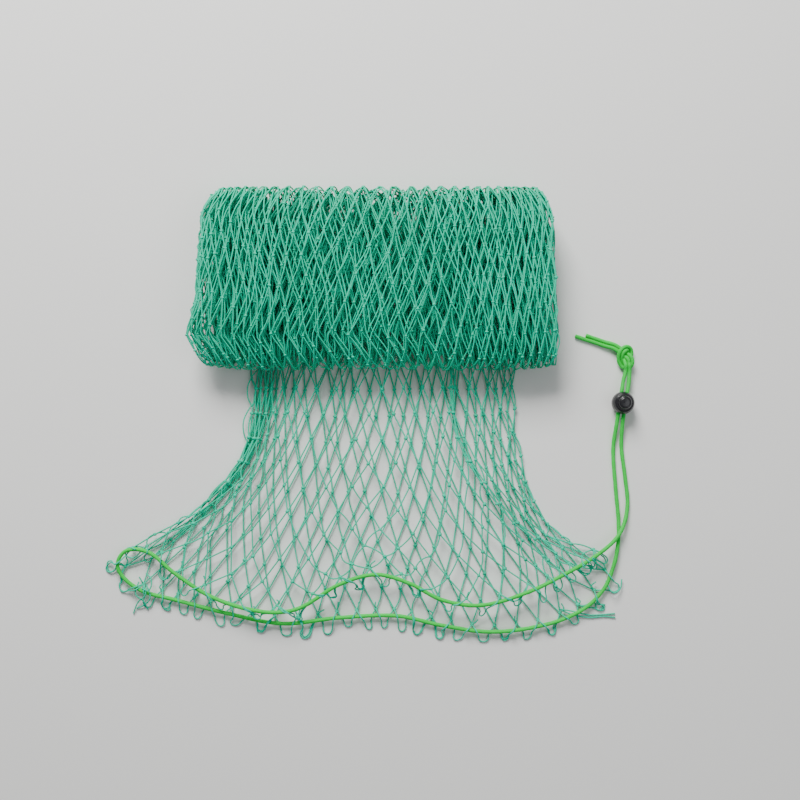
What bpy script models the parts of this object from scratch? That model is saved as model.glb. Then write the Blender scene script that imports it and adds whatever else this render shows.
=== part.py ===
"""A rolled fishing net with a drawstring mouth, lying on a flat surface.

The net is a tube of knotted mesh. It is pressed flat and wound up from its closed end, and its mouth runs out from
under the roll and fans out. A cord is threaded round the mouth; both its ends pass through a cord lock, and one knot
is tied in the two together. +X runs along the roll, -Y towards the mouth, +Z up, and the net rests on z = 0.
"""

import math

import bmesh
import bpy
from mathutils import Vector
from mathutils.geometry import interpolate_bezier

MM = 0.001

# The roll: a flattened winding of the net, seen in section as a rounded slab with its steeper side at the back.
ROLL_LEFT = -0.1310
ROLL_RIGHT = 0.1400
ROLL_CREST_Y = 0.1160
ROLL_FRONT_DEPTH = 0.0800
ROLL_BACK_DEPTH = 0.0610
ROLL_THICKNESS = 0.0450
ROLL_FLAT_CUT = 0.0014
ROLL_SIDES = 48
ROLL_STATIONS = 16
FRONT_ROUNDNESS = 2.15
BACK_ROUNDNESS = 2.9
SEAM_ANGLE = 225.0
TURN_PITCH = 0.0045

# How far the net's edge stands out (+) or draws in (-) at each end of the roll, by angle round the section:
# 0 is the back, 90 the top, 180 the front and 270 the underside.
ROLL_END_ROWS = (
    # angle, left end, right end (mm)
    (0, -15.0, -13.0),
    (30, -12.0, -9.0),
    (60, -2.5, -2.0),
    (90, 0.0, 0.0),
    (120, -1.0, 1.0),
    (150, 3.0, 3.0),
    (172, 10.0, 3.0),
    (190, 4.0, 1.0),
    (210, -8.0, -2.0),
    (240, -11.0, -6.0),
    (270, -7.0, -5.0),
    (300, -5.0, -4.0),
    (330, -11.0, -9.0),
)

# The turns show on the ends of the roll: each row is one edge or groove between turns, from the outside in.
TURN_ROWS = (
    # share of the section, depth into the end (mm)
    (0.90, 0.5),
    (0.84, 4.0),
    (0.72, 0.8),
    (0.66, 5.0),
    (0.53, 1.6),
    (0.47, 6.0),
    (0.34, 2.4),
    (0.27, 7.0),
    (0.12, 4.0),
)

# Long soft swells of the winding, by share of the roll's length.
SWELL_ROWS = (
    # share, crest height (mm), front edge (mm)
    (0.00, -4.5, -2.5),
    (0.10, -1.0, 0.5),
    (0.30, 0.8, 1.2),
    (0.50, -0.6, 0.0),
    (0.72, 1.0, 1.4),
    (0.90, -0.8, 0.6),
    (1.00, -4.0, -2.0),
)

# The mouth: a flattened tube of net, from its neck under the roll to its spread edge.
SHEET = 0.0015
FOLD_GAP = 0.0012
PUFF_NECK = 0.0060
PUFF_MOUTH = 0.0042
NECK_LIFT = 0.0012
LIFT_END_Y = 0.0380
MOUTH_ROWS = 18
HEM_REACH = 2.0
FOLD_SHARES = (0.0, 0.009, 0.035, 0.08)
MOUTH_COLUMNS = 30

LEFT_FOLD = (
    (-0.0920, 0.0600),
    (-0.0950, 0.0355),
    (-0.0930, 0.0150),
    (-0.0960, -0.0120),
    (-0.1030, -0.0340),
    (-0.1180, -0.0560),
    (-0.1350, -0.0740),
    (-0.1560, -0.0900),
    (-0.1790, -0.1010),
    (-0.1985, -0.1085),
)
RIGHT_FOLD = (
    (0.1120, 0.0600),
    (0.1145, 0.0355),
    (0.1140, 0.0050),
    (0.1210, -0.0380),
    (0.1320, -0.0730),
    (0.1480, -0.0920),
    (0.1690, -0.1030),
    (0.1850, -0.1090),
)
FRONT_HEM = (
    (-0.1985, -0.1085),
    (-0.1880, -0.1120),
    (-0.1730, -0.1150),
    (-0.1530, -0.1290),
    (-0.1370, -0.1400),
    (-0.1220, -0.1480),
    (-0.0990, -0.1550),
    (-0.0700, -0.1590),
    (-0.0470, -0.1520),
    (-0.0250, -0.1380),
    (0.0040, -0.1300),
    (0.0260, -0.1350),
    (0.0440, -0.1450),
    (0.0620, -0.1520),
    (0.0860, -0.1540),
    (0.1080, -0.1500),
    (0.1330, -0.1390),
    (0.1540, -0.1300),
    (0.1720, -0.1190),
    (0.1850, -0.1090),
)
BACK_HEM = (
    (-0.1985, -0.1085),
    (-0.2030, -0.1200),
    (-0.1990, -0.1350),
    (-0.1880, -0.1480),
    (-0.1560, -0.1560),
    (-0.1130, -0.1660),
    (-0.0700, -0.1740),
    (-0.0250, -0.1700),
    (0.0130, -0.1680),
    (0.0560, -0.1760),
    (0.0900, -0.1800),
    (0.1360, -0.1750),
    (0.1660, -0.1650),
    (0.1850, -0.1540),
    (0.1980, -0.1390),
    (0.2030, -0.1240),
    (0.2000, -0.1130),
    (0.1930, -0.1080),
    (0.1850, -0.1090),
)

# Bunched folds of the front layer, each a soft ridge that runs from the neck to the hem.
CREASE_ROWS = (
    # share across at the neck, share across at the hem, height (mm), half width as a share
    (0.10, 0.07, 1.6, 0.030),
    (0.80, 0.88, 2.6, 0.024),
    (0.93, 0.95, 1.8, 0.018),
    (0.45, 0.30, 0.9, 0.050),
    (0.60, 0.62, 0.8, 0.060),
)

# The widest spread meshes of the front layer are open.
MESH_WIDTH = 0.0192
MESH_HEIGHT = 0.0348
GAP_SHARE = 0.70
GAP_COLUMNS = 3
GAP_ROWS = 4
GAP_FIRST = (-0.0055, -0.0420)
GAP_BOTTOM = 0.0042
GAP_TOP = 0.0200

# The drawstring and what is on it.
CORD_DIAMETER = 0.0030
DRAWSTRING_POINTS = 78
DRAWSTRING_ROUTE = (
    (0.2014, 0.0358, 0.0037),
    (0.2010, 0.0334, 0.0040),
    (0.1990, 0.0235, 0.0060),
    (0.1967, 0.0103, 0.0062),
    (0.1946, -0.0040, 0.0056),
    (0.1920, -0.0260, 0.0018),
    (0.1936, -0.0560, 0.0017),
    (0.1958, -0.0860, 0.0017),
    (0.1945, -0.1040, 0.0034),
    (0.1905, -0.1205, 0.0038),
    (0.1830, -0.1370, 0.0037),
    (0.1660, -0.1530, 0.0037),
    (0.1370, -0.1645, 0.0037),
    (0.0950, -0.1700, 0.0037),
    (0.0560, -0.1650, 0.0037),
    (0.0200, -0.1575, 0.0037),
    (-0.0250, -0.1590, 0.0037),
    (-0.0700, -0.1635, 0.0037),
    (-0.1130, -0.1555, 0.0037),
    (-0.1540, -0.1450, 0.0037),
    (-0.1800, -0.1380, 0.0037),
    (-0.1950, -0.1270, 0.0046),
    (-0.1990, -0.1160, 0.0064),
    (-0.1915, -0.1060, 0.0072),
    (-0.1740, -0.1075, 0.0086),
    (-0.1540, -0.1230, 0.0100),
    (-0.1230, -0.1422, 0.0110),
    (-0.0850, -0.1530, 0.0116),
    (-0.0570, -0.1508, 0.0118),
    (-0.0250, -0.1322, 0.0120),
    (0.0040, -0.1243, 0.0120),
    (0.0300, -0.1310, 0.0120),
    (0.0560, -0.1440, 0.0120),
    (0.0860, -0.1480, 0.0122),
    (0.1210, -0.1385, 0.0124),
    (0.1530, -0.1232, 0.0118),
    (0.1800, -0.1075, 0.0092),
    (0.1960, -0.0925, 0.0060),
    (0.2028, -0.0720, 0.0020),
    (0.2012, -0.0480, 0.0017),
    (0.1985, -0.0240, 0.0018),
    (0.1992, -0.0040, 0.0056),
    (0.2013, 0.0096, 0.0062),
    (0.2035, 0.0228, 0.0060),
    (0.2055, 0.0330, 0.0040),
    (0.2056, 0.0364, 0.0038),
)
LONG_TAIL_ROUTE = (
    (0.1959, 0.0521, 0.0041),
    (0.1860, 0.0556, 0.0022),
    (0.1770, 0.0588, 0.0016),
    (0.1700, 0.0610, 0.0016),
    (0.1627, 0.0636, 0.0016),
)
SHORT_TAIL_ROUTE = (
    (0.1973, 0.0557, 0.0041),
    (0.1885, 0.0596, 0.0022),
    (0.1800, 0.0624, 0.0016),
    (0.1714, 0.0654, 0.0016),
)
TAIL_POINT_SPACING = 0.0075

KNOT_CENTRE = (0.2018, 0.0468, 0.0047)
KNOT_HALF = (0.0062, 0.0104, 0.0045)
KNOT_TURN = math.radians(12)
KNOT_GROOVE = 0.0007

LOCK_CENTRE = (0.1990, 0.0100)
LOCK_TURN = math.radians(-9)
LOCK_PROFILE = (
    # radius, height (mm), from the button's middle down the side to the flat base
    (0.0, 17.6),
    (3.2, 17.4),
    (4.8, 16.8),
    (5.2, 16.0),
    (5.2, 14.2),
    (6.1, 14.2),
    (7.4, 13.2),
    (8.5, 11.0),
    (9.0, 8.0),
    (8.6, 4.6),
    (7.4, 1.8),
    (5.6, 0.3),
    (5.0, 0.0),
    (0.0, 0.0),
)
LOCK_SIDES = 32
LOCK_HOLE_RADIUS = 0.0022
LOCK_HOLE_OFFSET = 0.00235
LOCK_HOLE_HEIGHT = 0.0062


def clear_scene():
    for old in list(bpy.data.objects):
        bpy.data.objects.remove(old, do_unlink=True)


def finish_material(name, colour, roughness, metallic=0.0):
    material = bpy.data.materials.new(name)
    material.use_nodes = True
    shader = material.node_tree.nodes["Principled BSDF"]
    shader.inputs["Base Color"].default_value = (*colour, 1.0)
    shader.inputs["Roughness"].default_value = roughness
    shader.inputs["Metallic"].default_value = metallic
    return material


def add_object(name, mesh, material):
    piece = bpy.data.objects.new(name, mesh)
    piece.data.materials.append(material)
    bpy.context.scene.collection.objects.link(piece)
    return piece


def mesh_from(name, builder):
    """A mesh of the shape that builder makes, with its doubles merged and its faces turned outwards."""
    shape = bmesh.new()
    builder(shape)
    bmesh.ops.remove_doubles(shape, verts=shape.verts, dist=1e-6)
    bmesh.ops.recalc_face_normals(shape, faces=shape.faces)
    mesh = bpy.data.meshes.new(name)
    shape.to_mesh(mesh)
    shape.free()
    return mesh


def smooth_line(points, count):
    """count points, evenly spaced along one smooth curve through the given points."""
    knots = [Vector(point) for point in points]
    before = [2 * knots[0] - knots[1]] + knots[:-1]
    after = knots[1:] + [2 * knots[-1] - knots[-2]]
    fine = [knots[0]]
    for i in range(len(knots) - 1):
        length = (knots[i + 1] - knots[i]).length
        leave = (knots[i + 1] - before[i]).normalized() * length / 3
        arrive = (after[i + 1] - knots[i]).normalized() * length / 3
        fine += interpolate_bezier(knots[i], knots[i] + leave, knots[i + 1] - arrive, knots[i + 1], 17)[1:]
    reached = [0.0]
    for start, end in zip(fine, fine[1:]):
        reached.append(reached[-1] + (end - start).length)
    line = []
    piece = 0
    for i in range(count):
        wanted = reached[-1] * i / (count - 1)
        while piece < len(fine) - 2 and reached[piece + 1] < wanted:
            piece += 1
        share = (wanted - reached[piece]) / (reached[piece + 1] - reached[piece])
        line.append(fine[piece].lerp(fine[piece + 1], share))
    return line


def read_rows(rows, place, column):
    """The value of a table's column at a place between its rows, eased from row to row."""
    for low, high in zip(rows, rows[1:]):
        if low[0] <= place <= high[0]:
            share = (place - low[0]) / (high[0] - low[0])
            share = share * share * (3 - 2 * share)
            return low[column] + (high[column] - low[column]) * share
    return rows[-1][column]


def signed_power(value, power):
    return math.copysign(abs(value) ** power, value)


def roll_section(angle, share):
    """The (y, z) of the winding's outer turn at an angle round it, at a share of the roll's length."""
    turned = math.radians(angle)
    front = math.cos(turned) < 0
    power = 2 / (FRONT_ROUNDNESS if front else BACK_ROUNDNESS)
    wound = ((angle - SEAM_ANGLE) % 360) / 360
    inset = TURN_PITCH * max(0.0, wound - 0.2) / 0.8
    crest = (ROLL_THICKNESS + ROLL_FLAT_CUT) / 2 + read_rows(SWELL_ROWS, share, 1) * MM / 2
    depth = ROLL_BACK_DEPTH
    if front:
        depth = ROLL_FRONT_DEPTH + read_rows(SWELL_ROWS, share, 2) * MM
    y = ROLL_CREST_Y + (depth - inset) * signed_power(math.cos(turned), power)
    z = crest + (crest - inset * max(0.0, math.sin(turned))) * signed_power(math.sin(turned), power)
    return y, max(0.0, z - ROLL_FLAT_CUT)


def roll_end(angle, column):
    rows = ROLL_END_ROWS + ((360, ROLL_END_ROWS[0][1], ROLL_END_ROWS[0][2]),)
    return read_rows(rows, angle, column) * MM


def build_roll(shape):
    angles = [360 * i / ROLL_SIDES for i in range(ROLL_SIDES)]
    rings = []

    def end_rings(share, side, column):
        middle_y = ROLL_CREST_Y - (ROLL_FRONT_DEPTH - ROLL_BACK_DEPTH) / 2
        middle_z = ROLL_THICKNESS / 2
        outer = ROLL_LEFT if side < 0 else ROLL_RIGHT
        for size, groove in TURN_ROWS:
            ring = []
            for angle in angles:
                y, z = roll_section(angle, share)
                x = outer + side * (roll_end(angle, column) * size - groove * MM)
                y = middle_y + (y - middle_y) * size
                z = middle_z + (z - middle_z) * size
                ring.append(shape.verts.new((x, y, z)))
            yield ring

    left_ends = list(end_rings(0.0, -1, 1))
    rings += left_ends[::-1]
    for station in range(ROLL_STATIONS + 1):
        share = station / ROLL_STATIONS
        ring = []
        for angle in angles:
            left = ROLL_LEFT - roll_end(angle, 1)
            right = ROLL_RIGHT + roll_end(angle, 2)
            y, z = roll_section(angle, share)
            ring.append(shape.verts.new((left + (right - left) * share, y, z)))
        rings.append(ring)
    rings += list(end_rings(1.0, 1, 2))
    for ring, following in zip(rings, rings[1:]):
        for i in range(ROLL_SIDES):
            after = (i + 1) % ROLL_SIDES
            shape.faces.new((ring[i], ring[after], following[after], following[i]))
    for ring in (rings[0], rings[-1]):
        middle = sum((vertex.co for vertex in ring), Vector()) / ROLL_SIDES
        hub = shape.verts.new(middle)
        for i in range(ROLL_SIDES):
            shape.faces.new((ring[i], ring[(i + 1) % ROLL_SIDES], hub))


def mouth_shares():
    inner = [FOLD_SHARES[-1] + (1 - 2 * FOLD_SHARES[-1]) * i / MOUTH_COLUMNS for i in range(1, MOUTH_COLUMNS)]
    return list(FOLD_SHARES) + inner + [1 - share for share in FOLD_SHARES[::-1]]


def line_at(line, share):
    place = share * (len(line) - 1)
    first = min(int(place), len(line) - 2)
    return line[first].lerp(line[first + 1], place - first)


def patch_point(left, right, hem, across, along):
    """A point of the surface that is stretched between the two side folds and drawn down to the hem."""
    sides = line_at(left, along).lerp(line_at(right, along), across)
    straight_hem = hem[0].lerp(hem[-1], across)
    return sides + (line_at(hem, across) - straight_hem) * along ** HEM_REACH


def inner_gap(across, along):
    """The clear height between the two layers of the flattened mouth."""
    puff = PUFF_NECK + (PUFF_MOUTH - PUFF_NECK) * along
    gap = FOLD_GAP + puff * math.sin(math.pi * across) ** 0.5
    for at_neck, at_hem, height, width in CREASE_ROWS:
        away = (across - at_neck - (at_hem - at_neck) * along) / width
        gap += height * MM * math.exp(-away * away) * (1 - 0.35 * along)
    return gap


def build_mouth(shape):
    samples = 120
    left = smooth_line([(x, y, 0) for x, y in LEFT_FOLD], samples)
    right = smooth_line([(x, y, 0) for x, y in RIGHT_FOLD], samples)
    hems = {side: smooth_line([(x, y, 0) for x, y in hem], samples) for side, hem in
            (("front", FRONT_HEM), ("back", BACK_HEM))}
    shares = mouth_shares()
    last = len(shares) - 1
    outer_front, outer_back, inner_front, inner_back = [], [], [], []
    for row in range(MOUTH_ROWS + 1):
        along = row / MOUTH_ROWS
        tops, floors, ceilings, beds = [], [], [], []
        for share in shares:
            front = patch_point(left, right, hems["front"], share, along)
            back = patch_point(left, right, hems["back"], share, along)
            lift = NECK_LIFT * min(1.0, max(0.0, (back.y - LIFT_END_Y) / 0.01))
            gap = inner_gap(share, along)
            tops.append(shape.verts.new((front.x, front.y, lift + 2 * SHEET + gap)))
            floors.append(shape.verts.new((back.x, back.y, lift)))
            if row and 0 < share < 1:
                ceilings.append(shape.verts.new((front.x, front.y, lift + SHEET + gap)))
                beds.append(shape.verts.new((back.x, back.y, lift + SHEET)))
        outer_front.append(tops)
        outer_back.append(floors)
        if row:
            inner_front.append(ceilings)
            inner_back.append(beds)
    for grid in (outer_front, outer_back, inner_front, inner_back):
        for row, following in zip(grid, grid[1:]):
            for i in range(len(row) - 1):
                shape.faces.new((row[i], row[i + 1], following[i + 1], following[i]))
    for tops, floors in ((outer_front, outer_back), (inner_front, inner_back)):
        for row in range(len(tops) - 1):
            for end in (0, -1):
                shape.faces.new((tops[row][end], tops[row + 1][end], floors[row + 1][end], floors[row][end]))
        for i in range(len(tops[0]) - 1):
            shape.faces.new((tops[0][i], tops[0][i + 1], floors[0][i + 1], floors[0][i]))
    for i in range(1, last - 1):
        for outer, inner in ((outer_front, inner_front), (outer_back, inner_back)):
            shape.faces.new((outer[-1][i], outer[-1][i + 1], inner[-1][i], inner[-1][i - 1]))
    for end, beside, inside in ((0, 1, 0), (last, last - 1, -1)):
        shape.faces.new((
            outer_front[-1][end], outer_front[-1][beside], inner_front[-1][inside],
            inner_back[-1][inside], outer_back[-1][beside], outer_back[-1][end],
        ))


def build_mesh_gaps(shape):
    """One upright prism of diamond section for each open mesh."""
    half_width = MESH_WIDTH * GAP_SHARE / 2
    half_height = MESH_HEIGHT * GAP_SHARE / 2
    for row in range(GAP_ROWS):
        for column in range(GAP_COLUMNS):
            x = GAP_FIRST[0] + MESH_WIDTH * (column + 0.5 * (row % 2))
            y = GAP_FIRST[1] - MESH_HEIGHT / 2 * row
            corners = ((x + half_width, y), (x, y + half_height), (x - half_width, y), (x, y - half_height))
            low = [shape.verts.new((*corner, GAP_BOTTOM)) for corner in corners]
            high = [shape.verts.new((*corner, GAP_TOP)) for corner in corners]
            shape.faces.new(low)
            shape.faces.new(high)
            for i in range(4):
                after = (i + 1) % 4
                shape.faces.new((low[i], low[after], high[after], high[i]))


def helper(name, mesh, material):
    guide = add_object(name, mesh, material)
    guide.hide_render = True
    guide.display_type = "WIRE"
    return guide


def boolean(piece, other, operation):
    modifier = piece.modifiers.new(operation.title(), "BOOLEAN")
    modifier.operation = operation
    modifier.solver = "EXACT"
    modifier.object = other


def make_net():
    green = finish_material("net twine", (0.015, 0.60, 0.40), 0.6)
    net = add_object("net", mesh_from("net", build_roll), green)
    mouth = helper("mouth form", mesh_from("mouth form", build_mouth), green)
    gaps = helper("open meshes", mesh_from("open meshes", build_mesh_gaps), green)
    boolean(net, mouth, "UNION")
    boolean(net, gaps, "DIFFERENCE")


def make_cord(name, route, count, material):
    """A round cord with flat ends, along one smooth curve through its route."""
    curve = bpy.data.curves.new(name, "CURVE")
    curve.dimensions = "3D"
    curve.bevel_depth = CORD_DIAMETER / 2
    curve.bevel_resolution = 2
    curve.use_fill_caps = True
    spline = curve.splines.new("POLY")
    line = smooth_line(route, count)
    spline.points.add(len(line) - 1)
    for point, (x, y, z) in zip(spline.points, line):
        point.co = (x, y, max(z, CORD_DIAMETER / 2), 1)  # never below the floor
    return add_object(name, curve, material)


def build_knot(shape):
    """A fat oval lump with a shallow spiral groove, as an overhand knot in doubled cord has."""
    bmesh.ops.create_uvsphere(shape, u_segments=20, v_segments=14, radius=1.0)
    for vertex in shape.verts:
        around = math.atan2(vertex.co.z, vertex.co.x)
        depth = 1 - KNOT_GROOVE / KNOT_HALF[0] * (0.5 + 0.5 * math.cos(3 * around + 5 * vertex.co.y))
        x, y, z = (vertex.co[i] * KNOT_HALF[i] * depth for i in range(3))
        turned_x = x * math.cos(KNOT_TURN) - y * math.sin(KNOT_TURN)
        turned_y = x * math.sin(KNOT_TURN) + y * math.cos(KNOT_TURN)
        vertex.co = (KNOT_CENTRE[0] + turned_x, KNOT_CENTRE[1] + turned_y, KNOT_CENTRE[2] + z)


def build_lock_body(shape):
    rim = [shape.verts.new((radius * MM, 0, height * MM)) for radius, height in LOCK_PROFILE]
    edges = [shape.edges.new(pair) for pair in zip(rim, rim[1:])]
    bmesh.ops.spin(
        shape, geom=rim + edges, cent=(0, 0, 0), axis=(0, 0, 1), angle=2 * math.pi, steps=LOCK_SIDES,
        use_merge=True,
    )


def build_lock_holes(shape):
    for side in (-1, 1):
        made = bmesh.ops.create_cone(
            shape, cap_ends=True, segments=20, radius1=LOCK_HOLE_RADIUS, radius2=LOCK_HOLE_RADIUS, depth=0.03
        )
        for vertex in made["verts"]:
            x, y, z = vertex.co
            vertex.co = (x + side * LOCK_HOLE_OFFSET, z, -y + LOCK_HOLE_HEIGHT)


def make_lock():
    black = finish_material("black lock plastic", (0.012, 0.012, 0.014), 0.25)
    lock = add_object("cord_lock", mesh_from("cord_lock", build_lock_body), black)
    holes = helper("lock holes", mesh_from("lock holes", build_lock_holes), black)
    for piece in (lock, holes):
        piece.location = (*LOCK_CENTRE, 0)
        piece.rotation_euler = (0, 0, LOCK_TURN)
    boolean(lock, holes, "DIFFERENCE")
    lock.data.shade_smooth()
    lock.data.set_sharp_from_angle(angle=math.radians(40))


def main():
    clear_scene()
    make_net()
    lime = finish_material("drawstring cord", (0.09, 0.72, 0.17), 0.7)
    make_cord("drawstring", DRAWSTRING_ROUTE, DRAWSTRING_POINTS, lime)
    for name, route in (("long_tail", LONG_TAIL_ROUTE), ("short_tail", SHORT_TAIL_ROUTE)):
        length = sum(math.dist(start, end) for start, end in zip(route, route[1:]))
        make_cord(name, route, round(length / TAIL_POINT_SPACING) + 1, lime)
    knot = add_object("stopper_knot", mesh_from("stopper_knot", build_knot), lime)
    knot.data.shade_smooth()
    make_lock()


main()
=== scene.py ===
import math

import bpy
import numpy as np
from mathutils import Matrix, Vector
from mathutils.geometry import interpolate_bezier


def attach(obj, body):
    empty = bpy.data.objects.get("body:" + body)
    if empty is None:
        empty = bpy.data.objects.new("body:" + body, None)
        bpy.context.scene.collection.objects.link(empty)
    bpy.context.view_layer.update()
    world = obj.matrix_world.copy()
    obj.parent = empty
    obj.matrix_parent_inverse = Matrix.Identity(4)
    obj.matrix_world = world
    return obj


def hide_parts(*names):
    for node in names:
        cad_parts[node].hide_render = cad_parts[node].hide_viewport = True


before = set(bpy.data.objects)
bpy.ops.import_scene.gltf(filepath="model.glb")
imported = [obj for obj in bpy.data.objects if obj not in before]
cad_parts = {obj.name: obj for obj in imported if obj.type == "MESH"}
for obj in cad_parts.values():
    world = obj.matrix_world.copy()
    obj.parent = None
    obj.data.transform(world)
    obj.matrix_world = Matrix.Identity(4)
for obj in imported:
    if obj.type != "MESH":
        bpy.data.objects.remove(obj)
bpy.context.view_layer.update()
MM = 0.001


# --------------------------------------------------------------------------------------------------
# Stage: a pale matt table top, two big soft lamps and a camera that looks almost straight down on
# the net, which lies flat on it.
# --------------------------------------------------------------------------------------------------
CAMERA_HEIGHT = 0.85
CAMERA_ELEVATION = math.radians(87.5)
CAMERA_AIM = (0.0229, 0.0126, 0.0)
VIEW_WIDTH = 0.6375
FLOOR_SIZE = 6.0
LAMPS = (
    # place, size, power, colour
    ((-0.35, 1.35, 1.10), 0.8, 58, (1.0, 0.99, 0.97)),
    ((1.1, -0.3, 1.7), 1.3, 8, (0.95, 0.98, 1.0)),
)
WORLD_LIGHT = 0.24
WORLD_COLOUR = (0.96, 0.98, 1.0, 1.0)
TABLE_COLOUR = (0.80, 0.80, 0.79)
TABLE_ROUGHNESS = 0.85
TABLE_DROP = 0.2 * MM
SENSOR_WIDTH = 36.0


def plain_material(name, colour, roughness):
    """A material of one colour."""
    material = bpy.data.materials.new(name)
    material.use_nodes = True
    shader = material.node_tree.nodes["Principled BSDF"]
    shader.inputs["Base Color"].default_value = (*colour, 1.0)
    shader.inputs["Roughness"].default_value = roughness
    return material


bpy.ops.object.select_all(action="DESELECT")
bpy.ops.mesh.primitive_plane_add(size=FLOOR_SIZE, location=(0, 0, -TABLE_DROP))
floor = bpy.context.object
floor.name = "table_top"
floor.data.materials.append(plain_material("pale table", TABLE_COLOUR, TABLE_ROUGHNESS))

for place, size, power, colour in LAMPS:
    lamp_data = bpy.data.lights.new("soft lamp", "AREA")
    lamp_data.size = size
    lamp_data.energy = power
    lamp_data.color = colour
    lamp = bpy.data.objects.new("soft lamp", lamp_data)
    lamp.location = place
    lamp.rotation_euler = (Vector(CAMERA_AIM) - Vector(place)).to_track_quat("-Z", "Y").to_euler()
    bpy.context.scene.collection.objects.link(lamp)

world = bpy.data.worlds.new("soft room")
world.use_nodes = True
world.node_tree.nodes["Background"].inputs["Strength"].default_value = WORLD_LIGHT
world.node_tree.nodes["Background"].inputs["Color"].default_value = WORLD_COLOUR
bpy.context.scene.world = world

camera_data = bpy.data.cameras.new("camera")
camera_data.sensor_width = SENSOR_WIDTH
camera_data.lens = SENSOR_WIDTH * CAMERA_HEIGHT / VIEW_WIDTH
camera = bpy.data.objects.new("camera", camera_data)
camera.location = (
    CAMERA_AIM[0],
    CAMERA_AIM[1] - CAMERA_HEIGHT * math.cos(CAMERA_ELEVATION),
    CAMERA_HEIGHT * math.sin(CAMERA_ELEVATION),
)
camera.rotation_euler = (math.pi / 2 - CAMERA_ELEVATION, 0, 0)
bpy.context.scene.collection.objects.link(camera)
bpy.context.scene.camera = camera


# --------------------------------------------------------------------------------------------------
# Drawstring: one 3 mm braided polyester cord, lime green, threaded round the mouth of the net.
# Both its ends run up through the cord lock and are tied in one overhand knot, with two cut tails.
# --------------------------------------------------------------------------------------------------
CORD_DIAMETER = 3.0 * MM
CORD_SIDES = 24
CORD_STEP = 0.55 * MM
BRAID_PITCH = 7.0 * MM
BRAID_CARRIERS = 6
BRAID_RELIEF = 0.10 * MM
CORD_REFERENCE = (0.02, 0.03, 1.0)
CORD_LIME = (0.002, 0.70, 0.050)
CORD_LIME_PALE = (0.012, 0.86, 0.10)
CORD_SHADOW = 0.42
DRAWSTRING_ROUTE = (
    (0.2010, 0.0334, 0.0040),
    (0.1990, 0.0235, 0.0060),
    (0.1967, 0.0103, 0.0062),
    (0.1946, -0.0040, 0.0056),
    (0.1920, -0.0260, 0.0018),
    (0.1936, -0.0560, 0.0017),
    (0.1958, -0.0860, 0.0017),
    (0.1945, -0.1040, 0.0034),
    (0.1905, -0.1205, 0.0038),
    (0.1830, -0.1370, 0.0037),
    (0.1660, -0.1530, 0.0037),
    (0.1370, -0.1645, 0.0037),
    (0.0950, -0.1700, 0.0037),
    (0.0560, -0.1650, 0.0037),
    (0.0200, -0.1575, 0.0037),
    (-0.0250, -0.1590, 0.0037),
    (-0.0700, -0.1635, 0.0037),
    (-0.1130, -0.1555, 0.0037),
    (-0.1540, -0.1450, 0.0037),
    (-0.1800, -0.1380, 0.0037),
    (-0.1950, -0.1270, 0.0046),
    (-0.1990, -0.1160, 0.0064),
    (-0.1915, -0.1060, 0.0072),
    (-0.1740, -0.1075, 0.0086),
    (-0.1540, -0.1230, 0.0100),
    (-0.1230, -0.1422, 0.0110),
    (-0.0850, -0.1530, 0.0116),
    (-0.0570, -0.1508, 0.0118),
    (-0.0250, -0.1322, 0.0120),
    (0.0040, -0.1243, 0.0120),
    (0.0300, -0.1310, 0.0120),
    (0.0560, -0.1440, 0.0120),
    (0.0860, -0.1480, 0.0122),
    (0.1210, -0.1385, 0.0124),
    (0.1530, -0.1232, 0.0118),
    (0.1800, -0.1075, 0.0092),
    (0.1960, -0.0925, 0.0060),
    (0.2028, -0.0720, 0.0020),
    (0.2012, -0.0480, 0.0017),
    (0.1985, -0.0240, 0.0018),
    (0.1992, -0.0040, 0.0056),
    (0.2013, 0.0096, 0.0062),
    (0.2035, 0.0228, 0.0060),
    (0.2055, 0.0330, 0.0040),
)
LONG_TAIL_ROUTE = (
    (0.1933, 0.0532, 0.0036),
    (0.1860, 0.0556, 0.0022),
    (0.1770, 0.0588, 0.0016),
    (0.1700, 0.0610, 0.0016),
    (0.1627, 0.0636, 0.0016),
)
SHORT_TAIL_ROUTE = (
    (0.1943, 0.0561, 0.0036),
    (0.1872, 0.0585, 0.0022),
    (0.1793, 0.0612, 0.0016),
    (0.1712, 0.0641, 0.0016),
)
LEG_B_EXIT = (0.1905, -0.1205, 0.0038)
LEG_A_EXIT = (0.1800, -0.1075, 0.0092)
LEFT_CORNER = (-0.1990, -0.1160, 0.0064)
KNOT_MIDDLE = (0.2004, 0.0463, 0.0046)
KNOT_LOBE = 2.55 * MM
KNOT_RISE = 1.75 * MM
KNOT_TURN = (math.radians(245), math.radians(487))
KNOT_ENTRY = ((0.2034, 0.0362, 0.0056), (0.2031, 0.0402, 0.0066))
KNOT_SAMPLES = 44
PAIR_OFFSET = CORD_DIAMETER / 2
SPAN_SAMPLES = 17
ROUTE_SAMPLES = 2400
LEG_SAMPLES = 700
LEG_STEP = 12
TABLE_GAP = 0.1 * MM
TINY = 1e-12


def smooth_line(points, count):
    """count points, evenly spaced along one smooth curve through the given points."""
    knots = [Vector(point) for point in points]
    before = [2 * knots[0] - knots[1]] + knots[:-1]
    after = knots[1:] + [2 * knots[-1] - knots[-2]]
    fine = [knots[0]]
    for i in range(len(knots) - 1):
        length = (knots[i + 1] - knots[i]).length
        leave = (knots[i + 1] - before[i]).normalized() * length / 3
        arrive = (after[i + 1] - knots[i]).normalized() * length / 3
        ends = knots[i], knots[i] + leave, knots[i + 1] - arrive, knots[i + 1]
        fine += interpolate_bezier(*ends, SPAN_SAMPLES)[1:]
    return even_line(np.array(fine), count)


def line_length(line):
    """The length of a line of points."""
    return float(np.linalg.norm(np.diff(line, axis=0), axis=1).sum())


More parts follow.
